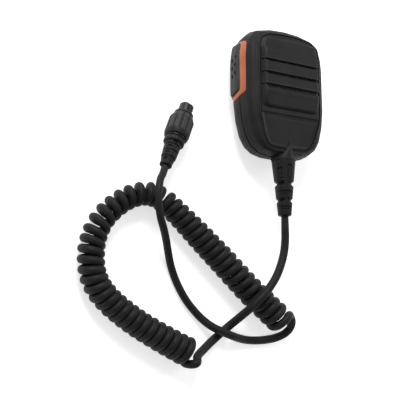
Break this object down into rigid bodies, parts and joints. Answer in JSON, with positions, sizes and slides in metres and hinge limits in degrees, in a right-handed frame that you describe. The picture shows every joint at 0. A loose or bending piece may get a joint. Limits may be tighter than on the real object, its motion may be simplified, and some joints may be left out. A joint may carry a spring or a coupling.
{
  "type": "hand microphone",
  "caption": "Palm microphone for a mobile radio with louvred front, side talk key with coloured surround, hang button, curly cord and round multi-pin plug.",
  "frame": {"origin": "centre of the hang button's outer face, which the microphone lies on", "axes": "+X to the right seen from the front, +Y toward the top of the case, away from the cord, +Z out of the louvred front"},
  "size_m": [0.1776, 0.2312, 0.0341],
  "materials": {
    "case_plastic": "fine-grained matte charcoal moulding",
    "grille_plastic": "fine-grained matte charcoal moulding",
    "key_plastic": "soft matte dark grey",
    "trim_plastic": "satin orange",
    "button_plastic": "satin black",
    "seal_rubber": "matte rubber",
    "relief_rubber": "matte moulded rubber",
    "cord_jacket": "satin jacket",
    "screw_steel": "plated",
    "capsule_metal": "drawn can",
    "mesh_cloth": "fine woven dust cloth",
    "board_laminate": "solder-masked laminate",
    "component_plastic": "moulded",
    "pale_plastic": "natural nylon",
    "wire_plastic": "wire insulation",
    "ring_plastic": "satin charcoal",
    "shell_metal": "black-plated shell",
    "insert_plastic": "moulded insulator",
    "contact_gold": "gold-plated contacts"
  },
  "bodies": {
    "microphone": {"rear_case": "case_plastic", "front_case": "case_plastic", "case_gasket": "seal_rubber", "case_screws": "screw_steel", "grille_panel": "grille_plastic", "dust_mesh": "mesh_cloth", "mic_capsule": "capsule_metal", "mic_boot": "seal_rubber", "circuit_board": "board_laminate", "board_components": "component_plastic", "board_screws": "screw_steel", "switch_body": "component_plastic", "ptt_trim": "trim_plastic", "ptt_seal": "seal_rubber", "ptt_pivot_pin": "screw_steel", "hang_button": "button_plastic", "hang_button_screw": "screw_steel", "cable_header": "pale_plastic", "wire_set": "wire_plastic", "cable_end": "cord_jacket", "cable_clamp": "screw_steel", "clamp_screws": "screw_steel", "strain_relief": "relief_rubber", "cord_mic_lead": "cord_jacket", "cord_curl": "cord_jacket", "cord_plug_lead": "cord_jacket", "plug_boot": "relief_rubber", "plug_back_nut": "ring_plastic", "plug_shell": "shell_metal", "plug_seal": "seal_rubber", "plug_insert": "insert_plastic", "plug_pins": "contact_gold"},
    "talk_key": {"ptt_key": "key_plastic", "ptt_spring": "screw_steel"},
    "switch_stem": {"switch_plunger": "pale_plastic"},
    "plug_ring": {"coupling_ring": "ring_plastic"}
  },
  "joints": [
    {"name": "ptt_press", "type": "hinge", "parent": "microphone", "child": "talk_key", "pos_m": [-0.031, 0.0045, 0.0148], "axis": [0, 0, -1], "range_deg": [0, 3.6], "stiffness_Nm_per_rad": 0.6, "springref_deg": -2.86, "deforming": ["ptt_spring"]},
    {"name": "switch_travel", "type": "slide", "parent": "microphone", "child": "switch_stem", "axis": [1, 0, 0], "range_m": [0, 0.0012]},
    {"name": "coupling_ring_turn", "type": "hinge", "parent": "microphone", "child": "plug_ring", "pos_m": [-0.07514, -0.02762, 0.00913], "axis": [0.4115, 0.8947, -0.1736], "continuous": true}
  ],
  "couplings": [
    {"joint": "switch_travel", "follows": "ptt_press", "m_per_rad": 0.0175}
  ]
}
